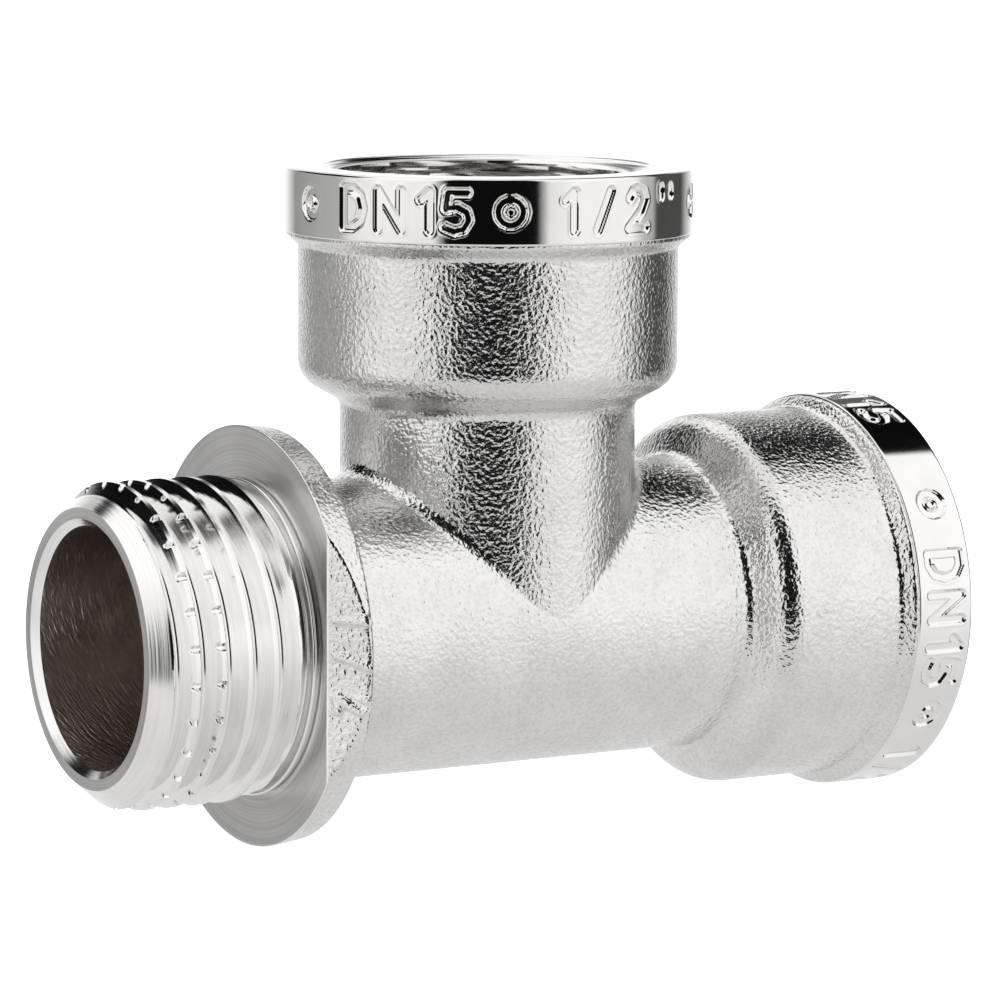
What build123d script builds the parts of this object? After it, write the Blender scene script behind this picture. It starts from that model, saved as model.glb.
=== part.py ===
"""A half-inch threaded pipe tee: male thread and female socket on the run, female socket on the branch.

Millimetres. +X is the run axis and points out of the female run socket, so the male thread is at -X.
+Z is the branch axis and points out of the branch socket. The origin is where the two axes cross.
The one-piece forging is split where its machined zones begin, and the zones meet face to face.
"""

import math
import os

from build123d import *

# Thread: G 1/2, parallel, right hand, 55 degree flanks
THREAD_PITCH = 1.814
THREAD_MAJOR_R = 20.955 / 2
THREAD_DEPTH = 1.162
THREAD_MINOR_R = THREAD_MAJOR_R - THREAD_DEPTH
CREST_WIDTH = 0.30
FLANK_SLOPE = math.tan(math.radians(55 / 2))
FOOT_OVERLAP = 0.12
TIP_EXCESS = 0.1
RUN_ON = 1.0
MALE_RUN_ON = 0.5
THREAD_TURN = -84.2
SEAM_TURN = 37.0

# Waterway and walls
BORE_R = 7.80
BRANCH_BORE_R = 7.75
TUBE_R = 9.75
NECK_R = 9.70
BARREL_R = 12.45
RAMP_R = 13.25
COLLAR_R = 13.36
CROTCH_FILLET = 1.2

# Stations along a female leg, measured from the centre
FACE = 29.75
COLLAR_START = 25.5
RAMP_END = 25.3
RAMP_START = 24.6
SHOULDER_OUTER = 15.95
SHOULDER_INNER = 14.45
SOCKET_START = 13.5
THREAD_BOTTOM = 18.5
THREAD_RUN_OUT = 0.6
BORE_STEP = 16.6
STEP_CONE = 0.9
SHOULDER_OUTER_FILLET = 2.1
SHOULDER_INNER_FILLET = 0.85
RAMP_FILLET = 0.35
MOUTH_R = 10.81
RIM_BREAK = 0.2

# Stations along the male leg, along X
MALE_FACE = -29.2
LEAD_IN_END = -27.5
LEAD_IN_R = 8.98
BORE_BREAK = 0.46
THREAD_END = -19.3
RELIEF_START = -18.95
FLANGE_FRONT = -17.9
FLANGE_BACK = -15.7

# Relief groove and the bead beside the flange
RELIEF_R = 9.45
BEAD_R = 10.25
BEAD_LOW = -18.4
BEAD_HIGH = -18.1
BEAD_FILLET = 0.12

# Stop flange: a slightly conical rim with a slanted flat on each side
FLANGE_FRONT_R = 13.6
FLANGE_BACK_R = 13.35
FLAT_FRONT_Y = 11.05
FLAT_BACK_Y = 13.80
FLANGE_ROOT_FILLET = 0.8
HUB_R = 10.5
HUB_FACE = -17.95

# Grip notches across the first crests of the male thread
NOTCH_COUNT = 28
NOTCH_TURN = 5.9
NOTCH_WIDTH = 0.42
NOTCH_DEPTH = 0.34
NOTCH_START = -28.2
NOTCH_END = -24.6

RUN = Plane(origin=(0, 0, 0), x_dir=(0, 1, 0), z_dir=(1, 0, 0))


def rounded_corner(before, corner, after, radius):
    """The start, middle and end of the arc that rounds a corner."""
    toward = (Vector(*before) - Vector(*corner)).normalized()
    onward = (Vector(*after) - Vector(*corner)).normalized()
    half = math.radians(toward.get_angle(onward)) / 2
    bisector = (toward + onward).normalized()
    setback = radius / math.tan(half)
    centre = Vector(*corner) + bisector * (radius / math.sin(half))
    return Vector(*corner) + toward * setback, centre - bisector * radius, Vector(*corner) + onward * setback


def turned(corners):
    """A solid of revolution about Z. Each corner is (radius, height) or (radius, height, corner rounding)."""
    flat = [(c[0], 0, c[1]) for c in corners]
    edges = []
    pen = None
    first = None
    for i, corner in enumerate(corners):
        if len(corner) == 3:
            arc = rounded_corner(flat[i - 1], flat[i], flat[(i + 1) % len(flat)], corner[2])
            start, end = arc[0], arc[2]
        else:
            arc = None
            start = end = Vector(*flat[i])
        if pen is None:
            first = start
        elif (start - pen).length > 1e-6:
            edges.append(Line(pen, start))
        if arc:
            edges.append(ThreePointArc(*arc))
        pen = end
    if (first - pen).length > 1e-6:
        edges.append(Line(pen, first))
    return revolve(make_face(Wire(edges)), Axis.Z)


def helical_ridge(foot_r, tip_r, low, high):
    """A right-hand thread ridge about Z, with a wide foot at foot_r and a narrow tip at tip_r."""
    outward = 1 if tip_r > foot_r else -1
    rise = abs(tip_r - foot_r)
    tip = CREST_WIDTH / 2
    foot = tip + rise * FLANK_SLOPE
    helix = Helix(pitch=THREAD_PITCH, height=high - low, radius=foot_r, center=(0, 0, low))
    section = Plane(origin=helix @ 0, x_dir=(outward, 0, 0), z_dir=helix % 0)
    outline = section * Polyline((0, -foot), (rise, -tip), (rise, tip), (0, foot), close=True)
    return sweep(make_face(outline), path=helix, is_frenet=True)


def male_thread():
    """The threaded spigot, with its lead-in cone and the grip notches across the first crests."""
    tip_lead = (MALE_FACE - LEAD_IN_END) / (LEAD_IN_R - THREAD_MAJOR_R)
    root_lead = MALE_FACE - (LEAD_IN_R - THREAD_MINOR_R) * tip_lead
    core = turned([
        (BORE_R, MALE_FACE + BORE_BREAK), (BORE_R + BORE_BREAK, MALE_FACE), (LEAD_IN_R, MALE_FACE),
        (THREAD_MINOR_R, root_lead), (THREAD_MINOR_R, RELIEF_START), (BORE_R, RELIEF_START),
    ])
    envelope = turned([
        (BORE_R, MALE_FACE + BORE_BREAK), (BORE_R + BORE_BREAK, MALE_FACE), (LEAD_IN_R, MALE_FACE),
        (THREAD_MAJOR_R, LEAD_IN_END), (THREAD_MAJOR_R, THREAD_END), (THREAD_MINOR_R, RELIEF_START),
        (BORE_R, RELIEF_START),
    ])
    ridge = Rot(0, 0, SEAM_TURN) * helical_ridge(
        THREAD_MINOR_R - FOOT_OVERLAP, THREAD_MAJOR_R + TIP_EXCESS,
        MALE_FACE - MALE_RUN_ON, RELIEF_START + MALE_RUN_ON,
    )
    thread = Rot(0, 0, THREAD_TURN - SEAM_TURN) * ((core + ridge) & envelope)
    notch = Pos(THREAD_MAJOR_R, 0, (NOTCH_START + NOTCH_END) / 2) * Box(
        2 * NOTCH_DEPTH, NOTCH_WIDTH, NOTCH_END - NOTCH_START
    )
    notches = [Rot(0, 0, NOTCH_TURN + i * 360 / NOTCH_COUNT) * notch for i in range(NOTCH_COUNT)]
    return RUN * (thread - notches)


def thread_relief():
    """The smooth groove where the thread runs out, and the small bead against the flange."""
    return RUN * turned([
        (BORE_R, RELIEF_START), (RELIEF_R, RELIEF_START), (RELIEF_R, BEAD_LOW),
        (BEAD_R, BEAD_LOW, BEAD_FILLET), (BEAD_R, BEAD_HIGH, BEAD_FILLET), (BEAD_R - 2 * BEAD_FILLET, BEAD_HIGH),
        (BEAD_R - 2 * BEAD_FILLET, HUB_FACE), (BORE_R, HUB_FACE),
    ])


def stop_flange():
    """The forged flange, with its turned hub and front face and a slanted flat on each side."""
    disc = RUN * turned([
        (BORE_R, HUB_FACE), (HUB_R, HUB_FACE), (HUB_R, FLANGE_FRONT), (FLANGE_FRONT_R, FLANGE_FRONT),
        (FLANGE_BACK_R, FLANGE_BACK), (BORE_R, FLANGE_BACK),
    ])
    beyond = FLANGE_FRONT_R + 1
    wedge = extrude(
        make_face(Polyline(
            (FLANGE_FRONT, FLAT_FRONT_Y), (FLANGE_BACK, FLAT_BACK_Y), (FLANGE_BACK, beyond),
            (FLANGE_FRONT, beyond), close=True,
        )),
        amount=beyond, both=True,
    )
    return disc - wedge - mirror(wedge, about=Plane.XZ)


def tee_body():
    """The run tube and the branch neck, with their rounded crotch and the two crossing bores."""
    tube = RUN * turned([
        (0, FLANGE_BACK), (TUBE_R + FLANGE_ROOT_FILLET, FLANGE_BACK),
        (TUBE_R, FLANGE_BACK, FLANGE_ROOT_FILLET), (TUBE_R, SOCKET_START), (0, SOCKET_START),
    ])
    neck = Pos(0, 0, SOCKET_START / 2) * Cylinder(NECK_R, SOCKET_START)
    body = tube + neck
    crotch = [
        e for e in body.edges()
        if e.geom_type != GeomType.CIRCLE and e.center().Z > 0 and e.bounding_box().size.Z > NECK_R / 2
    ]
    body = fillet(crotch, CROTCH_FILLET)
    run_bore = RUN * Pos(0, 0, (FLANGE_BACK + SOCKET_START) / 2) * Cylinder(BORE_R, SOCKET_START - FLANGE_BACK)
    branch_bore = Pos(0, 0, SOCKET_START / 2) * Cylinder(BRANCH_BORE_R, SOCKET_START)
    return body - run_bore - branch_bore


def socket(root_r, bore_r):
    """A female socket about Z: shoulder, barrel, collar ramp, and the bore with its internal thread."""
    mouth_major = FACE - (MOUTH_R - THREAD_MAJOR_R)
    mouth_bore = FACE - (MOUTH_R - BORE_R)
    shell = turned([
        (bore_r, SOCKET_START), (root_r, SOCKET_START), (root_r, SHOULDER_INNER, SHOULDER_INNER_FILLET),
        (BARREL_R, SHOULDER_OUTER, SHOULDER_OUTER_FILLET), (BARREL_R, RAMP_START, RAMP_FILLET),
        (RAMP_R, RAMP_END, RAMP_FILLET / 2), (RAMP_R, COLLAR_START), (BARREL_R, COLLAR_START),
        (BARREL_R, FACE), (MOUTH_R, FACE), (THREAD_MAJOR_R, mouth_major),
        (THREAD_MAJOR_R, THREAD_BOTTOM + THREAD_RUN_OUT), (THREAD_MINOR_R, THREAD_BOTTOM),
        (THREAD_MINOR_R, BORE_STEP), (bore_r, BORE_STEP - STEP_CONE),
    ])
    foot_r = THREAD_MAJOR_R + FOOT_OVERLAP
    outer_r = foot_r + FOOT_OVERLAP
    ridge = helical_ridge(foot_r, THREAD_MINOR_R, THREAD_BOTTOM - RUN_ON, FACE + RUN_ON)
    envelope = turned([
        (BORE_R, THREAD_BOTTOM), (outer_r, THREAD_BOTTOM), (outer_r, mouth_major + 2 * FOOT_OVERLAP),
        (BORE_R, mouth_bore),
    ])
    return shell + (ridge & envelope)


def collar():
    """The polished band around a socket's mouth, about Z."""
    return turned([
        (BARREL_R, COLLAR_START), (COLLAR_R, COLLAR_START, RIM_BREAK / 2), (COLLAR_R, FACE, RIM_BREAK),
        (BARREL_R, FACE),
    ])


NODES = {
    "male_thread": male_thread,
    "thread_relief": thread_relief,
    "stop_flange": stop_flange,
    "tee_body": tee_body,
    "run_socket": lambda: RUN * socket(TUBE_R, BORE_R),
    "branch_socket": lambda: socket(NECK_R, BRANCH_BORE_R),
    "run_collar": lambda: RUN * collar(),
    "branch_collar": collar,
}

os.makedirs("parts", exist_ok=True)
for name, make in NODES.items():
    shape = make()
    state = "valid" if shape.is_valid else "INVALID"
    print(name, state, len(shape.solids()), "solid", round(shape.volume, 1), "mm3")
    export_step(shape, f"parts/{name}.step")
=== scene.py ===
"""Visual model of a half-inch nickel-plated threaded tee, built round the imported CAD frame.

Shapes are worked out in millimetres in the row frame and stored in metres. The run is along X, and the
branch along Z.
"""

import math

import bpy
import numpy as np
from mathutils import Matrix


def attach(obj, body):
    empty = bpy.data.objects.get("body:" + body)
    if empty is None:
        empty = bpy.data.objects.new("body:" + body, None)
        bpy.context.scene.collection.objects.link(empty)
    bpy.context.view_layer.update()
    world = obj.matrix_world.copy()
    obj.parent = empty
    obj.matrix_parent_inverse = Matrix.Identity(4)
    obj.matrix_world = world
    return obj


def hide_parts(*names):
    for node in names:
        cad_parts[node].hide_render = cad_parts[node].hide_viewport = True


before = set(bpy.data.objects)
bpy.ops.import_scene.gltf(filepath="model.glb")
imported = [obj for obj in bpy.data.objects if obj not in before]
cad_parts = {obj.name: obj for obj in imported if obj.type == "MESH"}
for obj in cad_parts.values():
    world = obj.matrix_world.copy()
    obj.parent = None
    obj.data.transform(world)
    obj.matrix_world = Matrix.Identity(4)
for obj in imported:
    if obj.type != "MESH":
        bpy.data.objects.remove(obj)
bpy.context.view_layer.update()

MM = 0.001

# Sizes shared with the CAD, in millimetres
BORE_R, BRANCH_BORE_R = 7.80, 7.75
TUBE_R, NECK_R = 9.75, 9.70
BARREL_R, RAMP_R, COLLAR_R, MOUTH_R = 12.45, 13.25, 13.36, 10.81
MAJOR_R, MINOR_R, PITCH = 10.4775, 9.3155, 1.814
MALE_FACE, LEAD_IN_R, LEAD_IN_END = -29.2, 8.98, -27.5
THREAD_END, RELIEF_START, FLANGE_FRONT, FLANGE_BACK = -19.3, -18.95, -17.9, -15.7
HUB_R, HUB_FACE = 10.5, -17.95
RIM_FRONT_R, RIM_BACK_R, RIM_WIDTH = 13.6, 13.35, 2.2
SOCKET_START, COLLAR_START, FACE = 13.5, 25.5, 29.75

# Places in the list of materials that every piece carries
FORGED, MACHINED, BORE, POLISHED = range(4)


# ---------------------------------------------------------------- noise and blends

def lattice_noise(points, seed):
    """Smooth gradient noise between about -1 and 1, one value a point."""
    cell = np.floor(points).astype(np.int64)
    part = points - cell
    fade = part * part * part * (part * (part * 6 - 15) + 10)
    total = np.zeros(len(points))
    for corner in np.ndindex(2, 2, 2):
        at = cell + corner
        code = (at[:, 0] * 73856093) ^ (at[:, 1] * 19349663) ^ (at[:, 2] * 83492791) ^ (seed * 2654435761)
        code = (code ^ (code >> 13)) * 1274126177
        code = (code ^ (code >> 16)) & 0xFFFFFF
        lon = (code & 0xFFF) / 4096 * 2 * np.pi
        high = (code >> 12) / 2048 - 1
        flat = np.sqrt(np.maximum(1 - high * high, 0))
        slope = np.stack([np.cos(lon) * flat, np.sin(lon) * flat, high], 1)
        weight = np.prod(np.where(corner, fade, 1 - fade), axis=1)
        total += weight * ((part - corner) * slope).sum(1)
    return total * 1.6


# Forging skin: size and height of each layer, in millimetres
COARSE_SIZE, FINE_SIZE, SWAY_SIZE, SEAM_WIDTH = 0.75, 0.40, 4.5, 0.16
COARSE_HEIGHT, FINE_HEIGHT, SWAY_HEIGHT, SEAM_HEIGHT = 0.002, 0.003, 0.006, 0.012


def grain(points):
    """Height of the blasted forging skin, with the die's parting line along the middle, in millimetres."""
    coarse = lattice_noise(points / COARSE_SIZE, 3)
    fine = lattice_noise(points / FINE_SIZE, 5)
    sway = lattice_noise(points / SWAY_SIZE, 7)
    seam = np.exp(-((points[:, 1] / SEAM_WIDTH) ** 2)) * (0.6 + 0.4 * sway)
    return COARSE_HEIGHT * coarse + FINE_HEIGHT * fine + SWAY_HEIGHT * sway + SEAM_HEIGHT * seam


def soft_min(a, b, reach):
    """The lesser of two surfaces, with the corner between them rounded off."""
    near = np.clip(0.5 + 0.5 * (b - a) / reach, 0, 1)
    return b + (a - b) * near - reach * near * (1 - near)


def soft_max(a, b, reach):
    return -soft_min(-a, -b, reach)


def smooth(low, high, value):
    share = np.clip((value - low) / (high - low), 0, 1)
    return share * share * (3 - 2 * share)


# ---------------------------------------------------------------- meshes

def build(name, points, faces, bands, replaced, sharp=48):
    """A piece from points in millimetres, four corners a face (a triangle repeats its last) and bands, the
    material of each face."""
    tri = faces[:, 3] == faces[:, 2]
    counts = np.where(tri, 3, 4)
    keep = np.ones(faces.shape, bool)
    keep[tri, 3] = False
    mesh = bpy.data.meshes.new(name)
    mesh.vertices.add(len(points))
    mesh.vertices.foreach_set("co", (points * MM).astype(np.float32).ravel())
    mesh.loops.add(int(counts.sum()))
    mesh.loops.foreach_set("vertex_index", faces[keep].astype(np.int32))
    mesh.polygons.add(len(faces))
    starts = np.concatenate([[0], np.cumsum(counts)[:-1]]).astype(np.int32)
    mesh.polygons.foreach_set("loop_start", starts)
    mesh.polygons.foreach_set("material_index", np.asarray(bands, np.int32))
    for material in MATERIALS:
        mesh.materials.append(material)
    mesh.update(calc_edges=True)
    mesh.shade_smooth()
    mesh.set_sharp_from_angle(angle=math.radians(sharp))
    mesh.validate()
    piece = bpy.data.objects.new(name, mesh)
    bpy.context.scene.collection.objects.link(piece)
    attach(piece, "root")
    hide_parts(*replaced)
    return piece


def about_x(radius, along, angle):
    return np.stack([along, radius * np.cos(angle), radius * np.sin(angle)], -1)


def about_z(radius, along, angle):
    return np.stack([radius * np.cos(angle), radius * np.sin(angle), along], -1)


def cleaned(faces, bands):
    """Drops repeated corners, and faces that have collapsed."""
    faces = faces.copy()
    for k in range(4):
        same = faces[:, k] == faces[:, (k + 1) % 4]
        lone = same & (faces[:, 2] != faces[:, 3])
        faces[lone] = np.stack([faces[lone][:, (k + 1 + i) % 4] for i in (0, 1, 2, 2)], 1)
    ok = (faces[:, 0] != faces[:, 1]) & (faces[:, 1] != faces[:, 2]) & (faces[:, 0] != faces[:, 2])
    return faces[ok], bands[ok]


def ring_faces(rows, cols):
    """Faces of a grid that closes on itself both ways."""
    r, c = np.meshgrid(np.arange(rows), np.arange(cols), indexing="ij")
    r2, c2 = (r + 1) % rows, (c + 1) % cols
    return np.stack([r * cols + c, r * cols + c2, r2 * cols + c2, r2 * cols + c], -1).reshape(-1, 4)


def profile(corners, step):
    """Points about a step apart round a closed outline of (radius, along, rounding, material) corners."""
    flat = np.array([c[:2] for c in corners], float)
    pen, out, mats = None, [], []
    count = len(corners)
    for i in list(range(count)) + [0]:
        here = flat[i]
        back, on = flat[i - 1] - here, flat[(i + 1) % count] - here
        back, on = back / np.linalg.norm(back), on / np.linalg.norm(on)
        rounding = corners[i][2]
        half = math.acos(np.clip(back @ on, -1, 1)) / 2
        cut = rounding / math.tan(half)
        start = here + back * cut
        if pen is not None:
            n = max(1, int(round(np.linalg.norm(start - pen) / step)))
            for k in range(n):
                out.append(pen + (start - pen) * k / n)
                mats.append(corners[i][3])
        if i == 0 and pen is not None:
            break
        if rounding > 0:
            turn = math.pi - 2 * half
            n = max(3, int(round(rounding * turn / step)))
            centre = here + (back + on) / np.linalg.norm(back + on) * rounding / math.sin(half)
            a, b = start - centre, here + on * cut - centre
            for k in range(n):
                share = k / n
                w0 = math.sin((1 - share) * turn) / math.sin(turn)
                w1 = math.sin(share * turn) / math.sin(turn)
                out.append(centre + a * w0 + b * w1)
                mats.append(corners[i][3])
            pen = centre + b
        else:
            pen = here
    return np.array(out), np.array(mats)


def outward(points):
    """Unit normals of a grid that closes on itself both ways, with rows up the axis outside."""
    across = np.roll(points, -1, 0) - np.roll(points, 1, 0)
    round_ = np.roll(points, -1, 1) - np.roll(points, 1, 1)
    normal = np.cross(round_, across)
    return normal / np.maximum(np.linalg.norm(normal, axis=-1, keepdims=True), 1e-12)


def turned(name, corners, step, cols, place, replaced, shape=None, sharp=48):
    """A closed ring of revolution. shape(points, radius, along, angle) may move the points of the grid."""
    line, mats = profile(corners, step)
    angle = np.arange(cols) * 2 * np.pi / cols
    radius, turn = np.meshgrid(line[:, 0], angle, indexing="ij")
    along = np.repeat(line[:, 1:2], cols, 1)
    points = place(radius, along, turn)
    if shape:
        points = shape(points, radius, along, turn)
    faces = ring_faces(len(line), cols)
    bands = np.repeat(mats, cols)
    return build(name, points.reshape(-1, 3), faces, bands, replaced, sharp)


# ---------------------------------------------------------------- stroke letters

def circle(centre, radius, steps=14):
    return [(centre[0] + radius * math.cos(2 * math.pi * k / steps),
             centre[1] + radius * math.sin(2 * math.pi * k / steps)) for k in range(steps + 1)]


GLYPHS = {
    "D": [[(0, 0), (0, 1), (0.32, 1), (0.58, 0.84), (0.68, 0.5), (0.58, 0.16), (0.32, 0), (0, 0)]],
    "N": [[(0, 0), (0, 1), (0.68, 0), (0.68, 1)]],
    "1": [[(0, 0.78), (0.24, 1), (0.24, 0)]],
    "5": [[(0.6, 1), (0.1, 1), (0.04, 0.57), (0.34, 0.63), (0.58, 0.5), (0.64, 0.29), (0.5, 0.06),
           (0.26, 0), (0, 0.1)]],
    "/": [[(0, 0), (0.42, 1)]],
    "2": [[(0.03, 0.79), (0.14, 0.95), (0.34, 1), (0.54, 0.92), (0.61, 0.72), (0.46, 0.44), (0, 0),
           (0.64, 0)]],
    '"': [[(0, 1), (0.02, 0.76)], [(0.48, 1), (0.5, 0.76)]],
    "o": [circle((0.34, 0.5), 0.33), [(0.34, 0.5), (0.35, 0.5)]],
}


def stroke_distance(across, up, marks, height):
    """Distance to the nearest stroke of marks, each (glyph, centre across, foot)."""
    nearest = np.full(across.shape, 9.0)
    for glyph, centre, foot in marks:
        lines = [np.array(line, float) for line in GLYPHS[glyph]]
        middle = (min(l[:, 0].min() for l in lines) + max(l[:, 0].max() for l in lines)) / 2
        close = np.abs(across - centre) < height
        if not close.any():
            continue
        p = np.stack([(across[close] - centre), up[close] - foot], -1)
        best = nearest[close]
        for line in lines:
            xy = (line - (middle, 0)) * height
            for a, b in zip(xy[:-1], xy[1:]):
                ab = b - a
                t = np.clip(((p - a) @ ab) / max(ab @ ab, 1e-9), 0, 1)
                best = np.minimum(best, np.linalg.norm(p - a - t[:, None] * ab, axis=1))
        nearest[close] = best
    return nearest


# ---------------------------------------------------------------- materials

def node(tree, kind, inputs=(), **settings):
    """A new node with its settings made. inputs holds pairs: a socket, and its value or what links to it."""
    made = tree.nodes.new("ShaderNode" + kind)
    for key, value in settings.items():
        setattr(made, key, value)
    for socket, value in inputs:
        if isinstance(value, bpy.types.NodeSocket):
            tree.links.new(value, made.inputs[socket])
        else:
            made.inputs[socket].default_value = value
    return made


def calc(tree, operation, *values):
    return node(tree, "Math", list(enumerate(values)), operation=operation).outputs[0]


def pick(tree, share, a, b):
    """a where share is 0 and b where it is 1."""
    made = node(tree, "Mix", [("Factor", share)], data_type="FLOAT")
    for socket, value in (("A", a), ("B", b)):
        if isinstance(value, float):
            made.inputs[socket].default_value = value
        else:
            tree.links.new(value, made.inputs[socket])
    return made.outputs["Result"]


def ramp(tree, value, stops):
    """A grey ramp. Each stop is (position, level)."""
    made = node(tree, "ValToRGB", [("Fac", value)])
    band = made.color_ramp
    while len(band.elements) < len(stops):
        band.elements.new(0.5)
    for element, (place, level) in zip(band.elements, stops):
        element.position = place
        element.color = (level, level, level, 1)
    return made.outputs["Color"]


def metal(name, tint, dark):
    """A metallic material whose colour wanders between two tints. Returns the material, its tree, its shader,
    the object coordinates and the noise behind the colour."""
    material = bpy.data.materials.new(name)
    material.use_nodes = True
    tree = material.node_tree
    tree.nodes.clear()
    shader = node(tree, "BsdfPrincipled", [("Metallic", 1.0)])
    out = node(tree, "OutputMaterial")
    tree.links.new(shader.outputs[0], out.inputs[0])
    place = node(tree, "TexCoord").outputs["Object"]
    cloud = node(tree, "TexNoise", [("Vector", place), ("Scale", 260.0), ("Detail", 3.0)]).outputs["Fac"]
    share = node(tree, "MapRange", [("Value", cloud), ("From Min", 0.35), ("From Max", 0.65)]).outputs[0]
    colour = node(tree, "Mix", [("Factor", share), ("A", (*dark, 1)), ("B", (*tint, 1))], data_type="RGBA")
    tree.links.new(colour.outputs["Result"], shader.inputs["Base Color"])
    return material, tree, shader, place, cloud


# Depths of the bump textures, in metres
GRAIN_BUMP, RING_BUMP, CHATTER_BUMP, HAIR_BUMP = 0.000072, 0.0000065, 0.00009, 0.0000022
# Share of the forged base colour left at the bottom of the grain's pits: painted shade
PIT_SHADE_LEVEL = 0.90
# Turned surfaces above this height, in metres, belong to the branch
BRANCH_SPLIT = 0.0142
# How far the drill's chatter climbs per radian, and how it stretches along its flow
CHATTER_CLIMB, CHATTER_ROUND, CHATTER_ALONG = 0.0032, 0.0012, 0.12


def forged_material():
    """Blasted forging skin under nickel: rounded grains, satin, with painted shade darkening the base colour
    in the pits.
    """
    material, tree, shader, place, cloud = metal("forged_nickel", (0.83, 0.82, 0.80), (0.76, 0.75, 0.73))
    grains = node(tree, "TexNoise", [("Vector", place), ("Scale", 3900.0), ("Detail", 1.0),
                                     ("Roughness", 0.4)])
    pits = node(tree, "TexVoronoi", [("Vector", place), ("Scale", 2600.0)], feature="SMOOTH_F1")
    sunk = calc(tree, "MULTIPLY", pits.outputs["Distance"], -0.25)
    height = calc(tree, "ADD", grains.outputs["Fac"], sunk)
    bump = node(tree, "Bump", [("Height", height), ("Strength", 1.0), ("Distance", GRAIN_BUMP)])
    tree.links.new(bump.outputs[0], shader.inputs["Normal"])
    # Base colour darker where the grain's height is low, in its pits: painted shade
    pit_shade = node(tree, "MapRange", [("Value", height), ("From Min", 0.18), ("From Max", 0.50),
                                  ("To Min", PIT_SHADE_LEVEL)])
    colour = shader.inputs["Base Color"].links[0].from_socket
    pit_shaded_colour = node(tree, "VectorMath", [(0, colour), ("Scale", pit_shade.outputs[0])], operation="SCALE")
    tree.links.new(pit_shaded_colour.outputs[0], shader.inputs["Base Color"])
    rough = node(tree, "MapRange", [("Value", cloud), ("To Min", 0.14), ("To Max", 0.20)]).outputs[0]
    tree.links.new(rough, shader.inputs["Roughness"])
    return material


def machined_material():
    """Turned metal: fine rings round the axis of its leg on walls and faces alike, with painted shade in
    their grooves.
    """
    material, tree, shader, place, _ = metal("machined_nickel", (0.93, 0.92, 0.91), (0.87, 0.86, 0.84))
    x, y, z = node(tree, "SeparateXYZ", [("Vector", place)]).outputs
    normal = node(tree, "TexCoord").outputs["Normal"]
    nx, _, nz = node(tree, "SeparateXYZ", [("Vector", normal)]).outputs
    branch = calc(tree, "GREATER_THAN", z, BRANCH_SPLIT)
    along, off = pick(tree, branch, x, z), pick(tree, branch, z, x)
    square = calc(tree, "ADD", calc(tree, "MULTIPLY", y, y), calc(tree, "MULTIPLY", off, off))
    radius = calc(tree, "SQRT", square)
    lines = node(tree, "CombineXYZ", [("X", along), ("Y", radius)]).outputs[0]
    drift = node(tree, "VectorMath", [(0, place), (1, (0.02, 0.02, 0.02))], operation="MULTIPLY").outputs[0]
    lines = node(tree, "VectorMath", [(0, lines), (1, drift)], operation="ADD").outputs[0]
    rings = node(tree, "TexNoise", [("Vector", lines), ("Scale", 5200.0), ("Detail", 3.0),
                                    ("Roughness", 0.6)]).outputs["Fac"]
    bump = node(tree, "Bump", [("Height", rings), ("Strength", 1.0), ("Distance", RING_BUMP)])
    tree.links.new(bump.outputs[0], shader.inputs["Normal"])
    face = calc(tree, "ABSOLUTE", pick(tree, branch, nx, nz))
    face = node(tree, "MapRange", [("Value", face), ("From Min", 0.93), ("From Max", 0.98)]).outputs[0]
    # Base colour darker in the rings' grooves, more so on end faces than on walls: painted shade
    groove_shade = node(tree, "MapRange", [("Value", rings), ("From Min", 0.36), ("From Max", 0.60),
                                     ("To Min", pick(tree, face, 0.94, 0.85))])
    colour = shader.inputs["Base Color"].links[0].from_socket
    groove_shaded_colour = node(tree, "VectorMath", [(0, colour), ("Scale", groove_shade.outputs[0])], operation="SCALE")
    tree.links.new(groove_shaded_colour.outputs[0], shader.inputs["Base Color"])
    rough = node(tree, "MapRange", [("Value", rings), ("To Min", pick(tree, face, 0.07, 0.26)),
                                    ("To Max", pick(tree, face, 0.17, 0.40))]).outputs[0]
    tree.links.new(rough, shader.inputs["Roughness"])
    back_y, back_z = calc(tree, "MULTIPLY", y, -1.0), calc(tree, "MULTIPLY", z, -1.0)
    around = node(tree, "CombineXYZ", [
        ("X", pick(tree, branch, 0.0, back_y)), ("Y", pick(tree, branch, back_z, x)),
        ("Z", pick(tree, branch, y, 0.0)),
    ]).outputs[0]
    tree.links.new(around, shader.inputs["Tangent"])
    shader.inputs["Anisotropic"].default_value = 0.75
    return material


def bore_material():
    """Drilled waterway: dark, thinly plated metal with slanting tool chatter."""
    material, tree, shader, place, _ = metal("drilled_bore", (0.74, 0.67, 0.62), (0.56, 0.49, 0.45))
    x, y, z = node(tree, "SeparateXYZ", [("Vector", place)]).outputs
    turn = calc(tree, "ARCTAN2", z, y)
    slant = calc(tree, "ADD", x, calc(tree, "MULTIPLY", turn, CHATTER_CLIMB))
    along = calc(tree, "MULTIPLY", x, CHATTER_ALONG)
    cross = calc(tree, "SUBTRACT", calc(tree, "MULTIPLY", turn, CHATTER_ROUND), along)
    flow = node(tree, "CombineXYZ", [("X", slant), ("Y", cross), ("Z", 0.0)]).outputs[0]
    dashes = node(tree, "TexNoise", [("Vector", flow), ("Scale", 4200.0), ("Detail", 2.0),
                                     ("Roughness", 0.6)]).outputs["Fac"]
    bump = node(tree, "Bump", [("Height", dashes), ("Strength", 1.0), ("Distance", CHATTER_BUMP)])
    tree.links.new(bump.outputs[0], shader.inputs["Normal"])
    shader.inputs["Roughness"].default_value = 0.33
    return material


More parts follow.
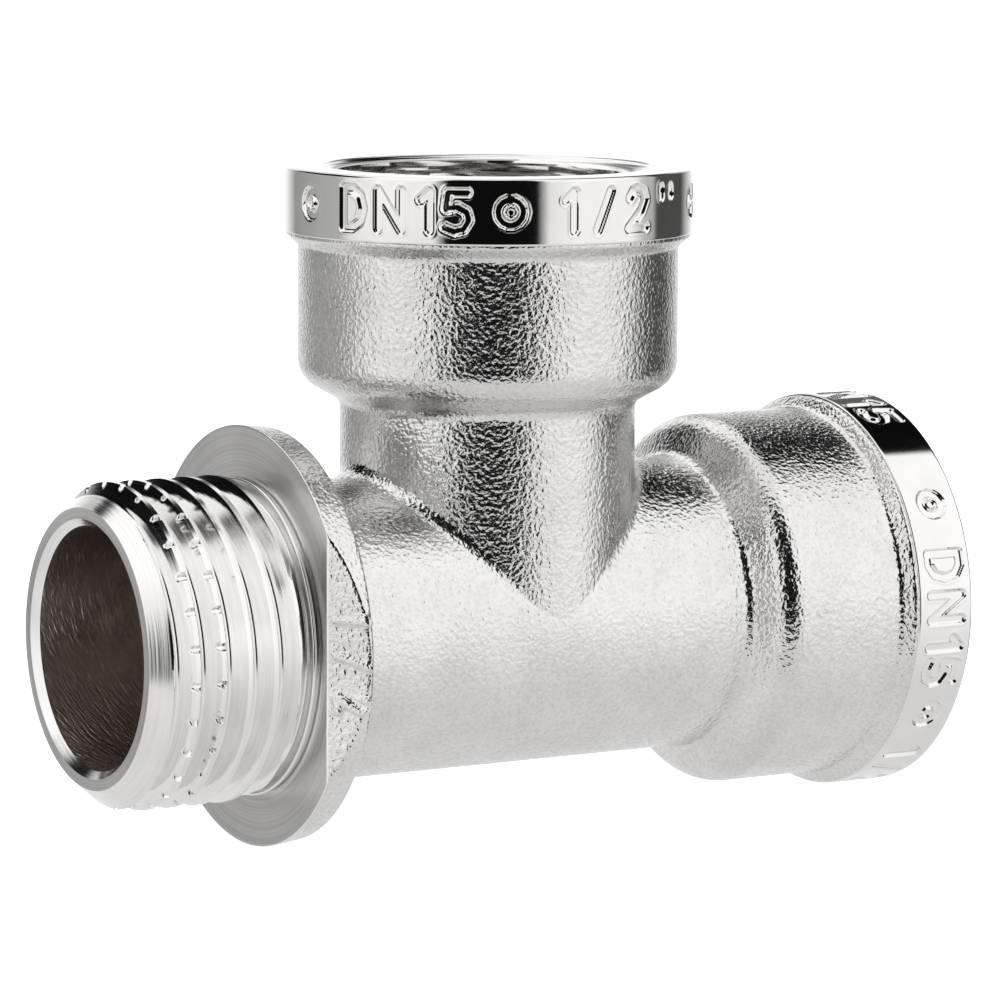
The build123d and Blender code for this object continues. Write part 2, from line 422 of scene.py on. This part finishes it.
def polished_material():
    """Mirror plate with faint hairlines."""
    material, tree, shader, place, cloud = metal("polished_nickel", (0.88, 0.87, 0.855), (0.83, 0.82, 0.80))
    hair = node(tree, "TexNoise", [("Vector", place), ("Scale", 1600.0), ("Detail", 4.0)]).outputs["Fac"]
    bump = node(tree, "Bump", [("Height", hair), ("Strength", 0.6), ("Distance", HAIR_BUMP)])
    tree.links.new(bump.outputs[0], shader.inputs["Normal"])
    rough = node(tree, "MapRange", [("Value", cloud), ("To Min", 0.05), ("To Max", 0.10)]).outputs[0]
    tree.links.new(rough, shader.inputs["Roughness"])
    return material


MATERIALS = [forged_material(), machined_material(), bore_material(), polished_material()]


# ---------------------------------------------------------------- male thread

THREAD_COLS, ROWS_PER_PITCH = 640, 22
THREAD_ANGLE = 55
FLANK = 1 / math.tan(math.radians(THREAD_ANGLE / 2))
CREST_HALF = 2 * PITCH / ROWS_PER_PITCH
CREST_BEFORE, CREST_TURN = -29.8, 104
CREST_START = CREST_BEFORE + PITCH * CREST_TURN / 360
NOTCHES, NOTCH_TURN, NOTCH_HALF, NOTCH_DEPTH = 28, math.radians(5.9), 0.18, 0.34
NOTCH_START, NOTCH_END, NOTCH_EDGE = -28.2, -24.6, 0.07
ROOT_ROUND, END_ROUND = 0.16, 0.05
BORE_RINGS, BORE_BREAK = (-22.0, -25.0, -27.4), 0.46


def male_radius(x, angle):
    """Outside radius of the threaded spigot."""
    crest = CREST_START + PITCH * angle / (2 * np.pi)
    off = np.abs((x - crest + PITCH / 2) % PITCH - PITCH / 2)
    radius = np.minimum(MAJOR_R, MAJOR_R - (off - CREST_HALF) * FLANK)
    radius = soft_max(radius, np.full_like(x, MINOR_R), ROOT_ROUND)
    step = 2 * np.pi / NOTCHES
    arc = np.abs((angle - NOTCH_TURN + step / 2) % step - step / 2) * MAJOR_R
    notch = MAJOR_R - NOTCH_DEPTH * smooth(NOTCH_HALF + NOTCH_EDGE, NOTCH_HALF - NOTCH_EDGE, arc)
    radius = np.minimum(radius, np.where((x > NOTCH_START) & (x < NOTCH_END), notch, MAJOR_R))
    lead = LEAD_IN_R + (x - MALE_FACE) * (MAJOR_R - LEAD_IN_R) / (LEAD_IN_END - MALE_FACE)
    radius = soft_min(radius, lead, END_ROUND)
    end = MAJOR_R - (x - THREAD_END) * (MAJOR_R - MINOR_R) / (RELIEF_START - THREAD_END)
    return soft_min(radius, end, END_ROUND)


def male_thread():
    """A helical grid outside, so that crests follow its rows, closed through the end face and the bore."""
    cols, lift = THREAD_COLS, ROWS_PER_PITCH
    angle = np.arange(cols) * 2 * np.pi / cols
    low, high = MALE_FACE, RELIEF_START
    rows = int(math.ceil((high - low) / PITCH)) * lift + 2 * lift + 1
    row = np.arange(rows)[:, None] - lift
    x = np.clip(CREST_START + PITCH * (row / lift + angle[None] / (2 * np.pi)), low, high)
    turn = np.broadcast_to(angle[None], x.shape)
    outside = about_x(male_radius(x, turn), x, turn).reshape(-1, 3)
    ids = np.arange(rows * cols).reshape(rows, cols)
    first = np.argmax(x > low, axis=0) - 1
    last = np.argmax(x >= high, axis=0)
    column = np.arange(cols)
    ids = np.where(x <= low, ids[np.maximum(first, 0), column][None], ids)
    ids = np.where(x >= high, ids[last, column][None], ids)
    right = np.empty_like(ids)
    right[:, :-1] = ids[:, 1:]
    right[:-lift, -1] = ids[lift:, 0]
    right[-lift:, -1] = ids[-1, 0]
    skin = np.stack([ids[:-1], right[:-1], right[1:], ids[1:]], -1).reshape(-1, 4)
    inner = [(BORE_R, at, BORE) for at in (high, *BORE_RINGS, low + BORE_BREAK)]
    inner += [
        (BORE_R + BORE_BREAK / 2, low + BORE_BREAK / 2, MACHINED), (BORE_R + BORE_BREAK, low, MACHINED),
        ((BORE_R + BORE_BREAK + LEAD_IN_R) / 2, low, MACHINED),
    ]
    base = rows * cols
    lining = np.concatenate([about_x(np.full(cols, r), np.full(cols, s), angle) for r, s, _ in inner])
    loops = [ids[-1]] + [base + k * cols + column for k in range(len(inner))] + [ids[0]]
    bands = [np.full(len(skin), MACHINED)]
    faces = [skin]
    for k in range(len(loops) - 1):
        a, b = loops[k], loops[k + 1]
        faces.append(np.stack([a, np.roll(a, -1), np.roll(b, -1), b], -1))
        bands.append(np.full(cols, inner[k][2] if k < len(inner) else MACHINED))
    points = np.concatenate([outside, lining])
    faces, bands = cleaned(np.concatenate(faces), np.concatenate(bands))
    used, faces = np.unique(faces, return_inverse=True)
    faces = faces.reshape(-1, 4)
    build("thread_spigot", points[used], faces, bands, ["male_thread"], sharp=40)


male_thread()


# ---------------------------------------------------------------- thread relief

RELIEF_R, RELIEF_RAMP_END = 9.45, -18.85
BEAD_R, BEAD_FOOT_R, BEAD_START, BEAD_END = 10.25, 10.0, -18.4, -18.1

turned(
    "thread_relief_groove",
    [(BORE_R, RELIEF_START, 0, BORE), (MINOR_R, RELIEF_START, 0, MACHINED),
     (RELIEF_R, RELIEF_RAMP_END, 0.05, MACHINED), (RELIEF_R, BEAD_START, 0.12, MACHINED),
     (BEAD_R, BEAD_START, 0.13, MACHINED), (BEAD_R, BEAD_END, 0.13, MACHINED),
     (BEAD_FOOT_R, BEAD_END, 0.05, MACHINED), (BEAD_FOOT_R, HUB_FACE, 0, MACHINED),
     (BORE_R, HUB_FACE, 0, MACHINED)],
    step=0.06, cols=512, place=about_x, replaced=["thread_relief"],
)


# ---------------------------------------------------------------- stop flange

FLAT_FRONT, FLAT_BACK, FLAT_BLEND = 11.05, 13.80, 0.06
FLANGE_MARK = [("1", -2.7, 0.0), ("/", 0.0, 0.0), ("2", 2.7, 0.0)]
MARK_FOOT, MARK_HEIGHT, MARK_RISE = FLANGE_FRONT + 0.42, 1.45, 0.26


def flange_shape(points, radius, along, angle):
    """Cuts the slanted flats, raises the size mark on one and roughens the forged rim."""
    slant = FLAT_FRONT + (along - FLANGE_FRONT) * (FLAT_BACK - FLAT_FRONT) / (FLANGE_BACK - FLANGE_FRONT)
    limit = slant / np.maximum(np.abs(np.cos(angle)), 1e-3)
    cone = RIM_FRONT_R + (along - FLANGE_FRONT) * (RIM_BACK_R - RIM_FRONT_R) / RIM_WIDTH
    full = np.where(along < FLANGE_BACK, cone, RIM_BACK_R)
    cut = soft_min(full, limit, FLAT_BLEND * smooth(FLANGE_FRONT, FLANGE_FRONT + 0.5, along) + 0.1)
    share = np.clip((radius - HUB_R) / (full - HUB_R), 0, 1)
    radius = np.where(radius > HUB_R, HUB_R + (cut - HUB_R) * share, radius)
    reach = stroke_distance(-radius * np.sin(angle), along - MARK_FOOT, FLANGE_MARK, MARK_HEIGHT)
    radius = radius + MARK_RISE * smooth(0.30, 0.12, reach) * (np.cos(angle) < -0.6) * (share > 0.97)
    moved = about_x(radius, along, angle)
    rim = smooth(FLANGE_FRONT + 0.02, FLANGE_FRONT + 0.2, along) * (share > 0.2)
    rim = rim * (1 - 0.7 * smooth(0.05, 0.4, full - cut))
    bump = grain(moved.reshape(-1, 3)).reshape(radius.shape)
    return moved + outward(moved) * (bump * rim)[..., None]


turned(
    "stop_flange_disc",
    [(BORE_R, HUB_FACE, 0, MACHINED), (HUB_R, HUB_FACE, 0, MACHINED), (HUB_R, FLANGE_FRONT, 0, MACHINED),
     (RIM_FRONT_R, FLANGE_FRONT, 0.07, MACHINED), (RIM_BACK_R, FLANGE_BACK, 0.35, FORGED),
     (HUB_R, FLANGE_BACK, 0, FORGED), (BORE_R, FLANGE_BACK, 0, BORE)],
    step=0.105, cols=900, place=about_x, replaced=["stop_flange"],
    shape=flange_shape, sharp=40,
)


# ---------------------------------------------------------------- run tube and branch neck

CROTCH_FILLET, ROOT_FILLET = 1.2, 0.8
APEX_COLS, ARCH_COLS, UNDER_COLS = 6, 200, 140
# 1 - cos(45 degrees), which brings the fillet to its full size where tube and neck meet squarely
SQUARE_MEETING = 0.2929


def tee_gap(p):
    """Signed distance, near enough, to the outside of tube and neck with a rolled fillet between them."""
    tube, neck = np.hypot(p[:, 1], p[:, 2]), np.hypot(p[:, 0], p[:, 1])
    d1, d2 = tube - TUBE_R, neck - NECK_R
    d2 = np.where(p[:, 2] > 0, d2, 5.0)
    facing = np.clip(p[:, 1] ** 2 / (tube * neck), 0, 1)
    roll = CROTCH_FILLET * (1 - np.sqrt((1 + facing) / 2)) / SQUARE_MEETING + 1e-4
    inside = np.hypot(np.maximum(roll - d1, 0), np.maximum(roll - d2, 0))
    return np.maximum(roll, np.minimum(d1, d2)) - inside


def tee_slope(p):
    steps = np.eye(3) * 1e-3
    slope = np.stack([tee_gap(p + s) - tee_gap(p - s) for s in steps], 1)
    return slope / np.maximum(np.linalg.norm(slope, axis=1, keepdims=True), 1e-12)


def tee_sheet(tube_r, neck_r, right_rows, left_rows, neck_rows):
    """Points and faces of a cylinder along X and one up Z that meet in a shared curve, open at their ends."""
    apex = math.acos(neck_r / tube_r)
    arch = np.concatenate([
        np.linspace(0, apex, APEX_COLS + 1), np.linspace(apex, np.pi - apex, ARCH_COLS + 1)[1:],
        np.linspace(np.pi - apex, np.pi, APEX_COLS + 1)[1:],
    ])
    under = np.linspace(np.pi, 2 * np.pi, UNDER_COLS + 1)
    crotch = np.sqrt(np.maximum(neck_r ** 2 - (tube_r * np.cos(arch)) ** 2, 0))
    right, left = np.linspace(0, 1, right_rows + 1)[:, None], np.linspace(0, 1, left_rows + 1)[:, None]
    ends = np.concatenate([FLANGE_BACK * left[::-1], SOCKET_START * right[1:]])
    grids = [
        (crotch + (SOCKET_START - crotch) * right, arch),
        (-crotch + (FLANGE_BACK + crotch) * left, arch),
        (np.broadcast_to(ends, (len(ends), len(under))), under),
    ]
    sheets = [about_x(np.full(x.shape, tube_r), x, np.broadcast_to(a, x.shape)) for x, a in grids]
    rim = arch[APEX_COLS:len(arch) - APEX_COLS]
    foot_x, foot_y = crotch[APEX_COLS:len(arch) - APEX_COLS], tube_r * np.cos(rim)
    for side in (1, -1):
        lift = np.linspace(0, 1, neck_rows + 1)[:, None]
        z = tube_r * np.sin(rim) + (SOCKET_START - tube_r * np.sin(rim)) * lift
        x, y = np.broadcast_to(side * foot_x, z.shape), np.broadcast_to(foot_y, z.shape)
        sheets.append(np.stack([x, y, z], -1))
    flips = [False, True, False, True, False]
    points, faces, base = [], [], 0
    for sheet, flip in zip(sheets, flips):
        rows, cols = sheet.shape[:2]
        r, c = np.meshgrid(np.arange(rows - 1), np.arange(cols - 1), indexing="ij")
        quad = np.stack([r * cols + c, r * cols + c + 1, (r + 1) * cols + c + 1, (r + 1) * cols + c], -1)
        quad = quad.reshape(-1, 4) + base
        faces.append(quad[:, ::-1] if flip else quad)
        points.append(sheet.reshape(-1, 3))
        base += rows * cols
    points, faces = np.concatenate(points), np.concatenate(faces)
    key = np.round(points, 5) + 0.0
    _, first, back = np.unique(key, axis=0, return_index=True, return_inverse=True)
    return points[first], back.ravel()[faces]


def turn_about_run(points):
    return np.arctan2(points[:, 2], points[:, 1]) % (2 * np.pi)


def turn_about_branch(points):
    return np.arctan2(points[:, 1], points[:, 0]) % (2 * np.pi)


def loop_at(points, axis, value, order):
    """Indices of an end loop's points, in order of their angle about its axis."""
    ids = np.where(np.abs(points[:, axis] - value) < 1e-4)[0]
    return ids[np.argsort(order(points[ids]))]


def tee_body():
    """The outside and the crossing bores, joined by a ring at each of the three ends."""
    outer, skin = tee_sheet(TUBE_R, NECK_R, right_rows=70, left_rows=82, neck_rows=74)
    inner, lining = tee_sheet(BORE_R, BRANCH_BORE_R, right_rows=8, left_rows=9, neck_rows=8)
    ends = (
        (0, SOCKET_START, turn_about_run, False), (0, FLANGE_BACK, turn_about_run, True),
        (2, SOCKET_START, turn_about_branch, True),
    )
    rings = []
    for axis, value, order, flip in ends:
        a = loop_at(outer, axis, value, order)
        b = loop_at(inner, axis, value, order) + len(outer)
        ring = np.stack([a, np.roll(a, -1), np.roll(b, -1), b], -1)
        rings.append(ring[:, ::-1] if flip else ring)
    # roll the fillet into the crotch, then flare the tube into the flange
    for _ in range(6):
        outer = outer - tee_slope(outer) * tee_gap(outer)[:, None]
        outer[:, 2] = np.minimum(outer[:, 2], SOCKET_START)
        outer[:, 0] = np.clip(outer[:, 0], FLANGE_BACK, SOCKET_START)
    normal = tee_slope(outer)
    flare = np.clip((FLANGE_BACK + ROOT_FILLET - outer[:, 0]) / ROOT_FILLET, 0, 1) * np.pi / 2
    tube = np.hypot(outer[:, 1], outer[:, 2])
    swell = np.where(flare > 0, (tube + ROOT_FILLET * (1 - np.cos(flare))) / tube, 1)
    outer = outer + normal * grain(outer)[:, None]
    outer[:, 0] = np.where(flare > 0, FLANGE_BACK + ROOT_FILLET - ROOT_FILLET * np.sin(flare), outer[:, 0])
    outer[:, 1:] *= swell[:, None]
    points = np.concatenate([outer, inner])
    faces = [skin, lining[:, ::-1] + len(outer)] + rings
    bands = [np.full(len(skin), FORGED), np.full(len(lining), BORE)]
    bands += [np.full(len(ring), BORE) for ring in rings]
    faces, bands = cleaned(np.concatenate(faces), np.concatenate(bands))
    build("tee_tubes", points, faces, bands, ["tee_body"])


tee_body()


# ---------------------------------------------------------------- female sockets and collars

SOCKET_COLS, COLLAR_COLS = 560, 1120
SHOULDER_START, SHOULDER_END, RAMP_START, RAMP_END = 14.45, 15.95, 24.6, 25.3
LINER_R, OUTSIDE_R = 12.2, 9.6
THREAD_BOTTOM, THREAD_TOP, BORE_STEP, STEP_LENGTH, RIM_DROP = 18.5, 29.4175, 16.6, 0.9, 0.05
ROOT_HALF, THREAD_FADE, CREST_ROUND = 0.22, 0.6, 0.1
STAMP_FOOT, STAMP_HEIGHT, STAMP_DEPTH = 26.45, 2.45, 0.2
LIP_HEIGHT = 0.02
# The marks of one group and the degrees from its start to each, then from group to group and left plain
STAMP_GROUP = [("o", 0.0), ("D", 18.5), ("N", 30.5), ("1", 41.0), ("5", 49.8), ("o", 64.5), ("1", 81.3),
               ("/", 91.8), ("2", 103.6), ('"', 116.6)]
STAMP_GROUP_TURN, STAMP_TURN_LEFT = 137.3, 30.0


def socket_shape(points, radius, along, angle):
    """Cuts the internal thread and roughens the outside."""
    off = np.abs((along - PITCH * angle / (2 * np.pi)) % PITCH - PITCH / 2)
    ridge = MAJOR_R - np.clip((off - ROOT_HALF) * FLANK, 0, MAJOR_R - MINOR_R)
    depth = smooth(THREAD_BOTTOM, THREAD_BOTTOM + THREAD_FADE, along)
    wall = (radius < MAJOR_R + 1e-6) & (radius > MAJOR_R - 1e-3) & (along > THREAD_BOTTOM)
    radius = np.where(wall, soft_max(ridge, MAJOR_R - depth * (MAJOR_R - MINOR_R), CREST_ROUND), radius)
    place = about_x if abs(points[0, 0, 0] - along[0, 0]) < 1e-9 else about_z
    points = place(radius, along, angle)
    outside = (radius > OUTSIDE_R) & ~wall & (along < COLLAR_START - 0.1)
    bump = grain(points.reshape(-1, 3)).reshape(radius.shape)
    return points + outward(points) * (bump * outside)[..., None]


def stamp_marks(start):
    """The stamped marks round a collar: two full groups and the first part of a third."""
    marks = []
    for group in range(3):
        for glyph, turn in STAMP_GROUP:
            at = group * STAMP_GROUP_TURN + turn
            if at < 360 - STAMP_TURN_LEFT:
                marks.append((glyph, ((start + at) % 360) * math.pi / 180 * COLLAR_R, STAMP_FOOT))
    return marks


def collar_shape(start):
    """A shape function that stamps the marks into a collar, each stroke with a low lip round it."""
    marks = stamp_marks(start)
    full = 2 * math.pi * COLLAR_R
    marks += [(g, c + shift, f) for g, c, f in marks for shift in (-full, full)]
    marks = [m for m in marks if -4 < m[1] < full + 4]

    def shape(points, radius, along, angle):
        reach = stroke_distance(angle * COLLAR_R, along, marks, STAMP_HEIGHT)
        lip = LIP_HEIGHT * smooth(0.55, 0.40, reach) * smooth(0.30, 0.40, reach)
        dent = (STAMP_DEPTH * smooth(0.36, 0.20, reach) - lip) * (radius > COLLAR_R - 0.01)
        return points - outward(points) * dent[..., None]

    return shape


def female_leg(side, place, root_r, bore_r, stamp_start):
    """A socket and its collar, on a tube of radius root_r. The stamps start at stamp_start degrees."""
    turned(
        side + "_socket_shell",
        [(bore_r, SOCKET_START, 0, BORE), (root_r, SOCKET_START, 0, FORGED),
         (root_r, SHOULDER_START, 0.85, FORGED), (BARREL_R, SHOULDER_END, 2.1, FORGED),
         (BARREL_R, RAMP_START, 0.5, FORGED), (RAMP_R, RAMP_END, 0.25, FORGED),
         (RAMP_R, COLLAR_START, 0, FORGED), (LINER_R, COLLAR_START, 0, FORGED),
         (LINER_R, FACE - RIM_DROP, 0, FORGED), (MOUTH_R - RIM_DROP, FACE - RIM_DROP, 0, MACHINED),
         (MAJOR_R, THREAD_TOP, 0, MACHINED), (MAJOR_R, THREAD_BOTTOM, 0, MACHINED),
         (MINOR_R, THREAD_BOTTOM, 0, MACHINED), (MINOR_R, BORE_STEP, 0, MACHINED),
         (bore_r, BORE_STEP - STEP_LENGTH, 0, BORE)],
        step=0.15, cols=SOCKET_COLS, place=place, replaced=[side + "_socket"],
        shape=socket_shape,
    )
    turned(
        side + "_collar_band",
        [(MOUTH_R + 0.3, COLLAR_START, 0, POLISHED), (COLLAR_R, COLLAR_START, 0.12, POLISHED),
         (COLLAR_R, FACE, 0.16, POLISHED), (MOUTH_R, FACE, 0.05, POLISHED),
         (MOUTH_R - 0.03, FACE - 0.3, 0, MACHINED)],
        step=0.085, cols=COLLAR_COLS, place=place, replaced=[side + "_collar"],
        shape=collar_shape(stamp_start),
    )


female_leg("run", about_x, TUBE_R, BORE_R, 148.0)
female_leg("branch", about_z, NECK_R, BRANCH_BORE_R, 181.4)


# ---------------------------------------------------------------- floor, light and camera

CAMERA_AT, CAMERA_LENS = (-166.558, -286.577, 52.063), 182.93
CAMERA_AZ, CAMERA_EL, CAMERA_ROLL = math.radians(30.316), math.radians(7.623), math.radians(0.356)


def set_camera():
    ahead = np.array([math.sin(CAMERA_AZ) * math.cos(CAMERA_EL), math.cos(CAMERA_AZ) * math.cos(CAMERA_EL),
                      -math.sin(CAMERA_EL)])
    right = np.array([math.cos(CAMERA_AZ), -math.sin(CAMERA_AZ), 0])
    up = np.cross(right, ahead)
    c, s = math.cos(CAMERA_ROLL), math.sin(CAMERA_ROLL)
    axes = np.eye(4)
    axes[:3, 0], axes[:3, 1], axes[:3, 2] = right * c + up * s, up * c - right * s, -ahead
    axes[:3, 3] = np.array(CAMERA_AT) * MM
    data = bpy.data.cameras.new("camera")
    data.lens, data.sensor_width = CAMERA_LENS, 36
    data.clip_start, data.clip_end = 0.01, 20
    camera = bpy.data.objects.new("camera", data)
    bpy.context.scene.collection.objects.link(camera)
    camera.matrix_world = Matrix(axes.tolist())
    bpy.context.scene.camera = camera


def grey(display):
    """Linear level of a display grey between 0 and 1."""
    return ((display + 0.055) / 1.055) ** 2.4 if display > 0.04045 else display / 12.92


# Studio tent as seen from the object: (degrees right of the camera, display grey) at the horizon
HORIZON = [(-180, 1.0), (-158, 1.0), (-146, 0.8), (-139, 0.60), (-92, 0.71), (-84, 0.92), (-62, 1.0),
           (-36, 0.96), (35, 0.94), (50, 1.0), (88, 1.0), (98, 0.76), (105, 0.72), (109, 0.3), (138, 0.3),
           (148, 0.74), (162, 1.0), (180, 1.0)]
# and (degrees of elevation, display grey) away from the flags
HEIGHT = [(-90, 0.82), (-45, 0.84), (-25, 0.88), (-9, 0.94), (5, 1.0), (60, 1.0), (90, 0.9)]
# Elevations between which the horizon's greys count
HORIZON_BAND = (-24, 32, 5)
# Dark flags: low, high and edge in azimuth, the same in elevation, and display grey
FLAGS = [
    ((-27, 31, 3.5), (-16, 60, 3), 0.05),
    ((-138, -78, 1.5), (8, 43, 2.5), 0.03),
    ((121, 171, 2.5), (27, 69, 3), 0.04),
]
# A grey flag straight behind, in degrees either way from the camera
BACK_FLAG = ((166, 200, 4), (16, 31, 3), 0.36)
WORLD_GAIN = 1.12


def set_world():
    """The tent lights and reflects; the camera itself sees plain white."""
    world = bpy.data.worlds.new("studio")
    bpy.context.scene.world = world
    world.use_nodes = True
    tree = world.node_tree
    tree.nodes.clear()
    seen = node(tree, "TexCoord").outputs["Generated"]
    x, y, z = node(tree, "SeparateXYZ", [("Vector", seen)]).outputs
    toward = (-math.sin(CAMERA_AZ), -math.cos(CAMERA_AZ))
    right = (math.cos(CAMERA_AZ), -math.sin(CAMERA_AZ))
    along = calc(tree, "ADD", calc(tree, "MULTIPLY", x, toward[0]), calc(tree, "MULTIPLY", y, toward[1]))
    across = calc(tree, "ADD", calc(tree, "MULTIPLY", x, right[0]), calc(tree, "MULTIPLY", y, right[1]))
    azimuth = calc(tree, "DEGREES", calc(tree, "ARCTAN2", across, along))
    elevation = calc(tree, "DEGREES", calc(tree, "ARCSINE", z))

    def over(value, low, high, stops):
        share = node(tree, "MapRange", [("Value", value), ("From Min", low), ("From Max", high)]).outputs[0]
        return ramp(tree, share, [((at - low) / (high - low), grey(level)) for at, level in stops])

    def window(value, low, high, edge):
        rise = node(tree, "MapRange", [("Value", value), ("From Min", low - edge), ("From Max", low + edge)])
        fall = node(tree, "MapRange", [
            ("Value", value), ("From Min", high + edge), ("From Max", high - edge),
        ])
        return calc(tree, "MULTIPLY", rise.outputs[0], fall.outputs[0])

    def flag(turn, sides, heights, display, light):
        share = calc(tree, "MULTIPLY", window(turn, *sides), window(elevation, *heights))
        return pick(tree, share, light, grey(display))

    horizon = over(azimuth, -180, 180, HORIZON)
    light = over(elevation, -90, 90, HEIGHT)
    light = pick(tree, window(elevation, *HORIZON_BAND), light, calc(tree, "MULTIPLY", horizon, light))
    for sides, heights, display in FLAGS:
        light = flag(azimuth, sides, heights, display, light)
    light = flag(calc(tree, "ABSOLUTE", azimuth), *BACK_FLAG, light)
    lit = calc(tree, "MULTIPLY", light, WORLD_GAIN)
    level = pick(tree, node(tree, "LightPath").outputs["Is Camera Ray"], lit, 1.0)
    surface = node(tree, "Background", [("Color", level), ("Strength", 1.0)])
    out = node(tree, "OutputWorld")
    tree.links.new(surface.outputs[0], out.inputs[0])


def set_floor():
    """A pale floor that the flange's rim stands on, left out of the reflections."""
    size, low = 3.0, -RIM_FRONT_R * MM
    mesh = bpy.data.meshes.new("floor")
    mesh.from_pydata([(-size, -size, low), (size, -size, low), (size, size, low), (-size, size, low)], [],
                     [(0, 1, 2, 3)])
    floor = bpy.data.objects.new("floor", mesh)
    bpy.context.scene.collection.objects.link(floor)
    material = bpy.data.materials.new("floor")
    material.use_nodes = True
    shader = material.node_tree.nodes["Principled BSDF"]
    shader.inputs["Base Color"].default_value = (0.9, 0.9, 0.9, 1)
    shader.inputs["Roughness"].default_value = 1.0
    shader.inputs["Specular IOR Level"].default_value = 0.0
    shader.inputs["Emission Color"].default_value = (1, 1, 1, 1)
    shader.inputs["Emission Strength"].default_value = 0.9
    mesh.materials.append(material)
    floor.visible_glossy = False


set_camera()
set_world()
set_floor()
bpy.context.scene.view_settings.view_transform = "Standard"
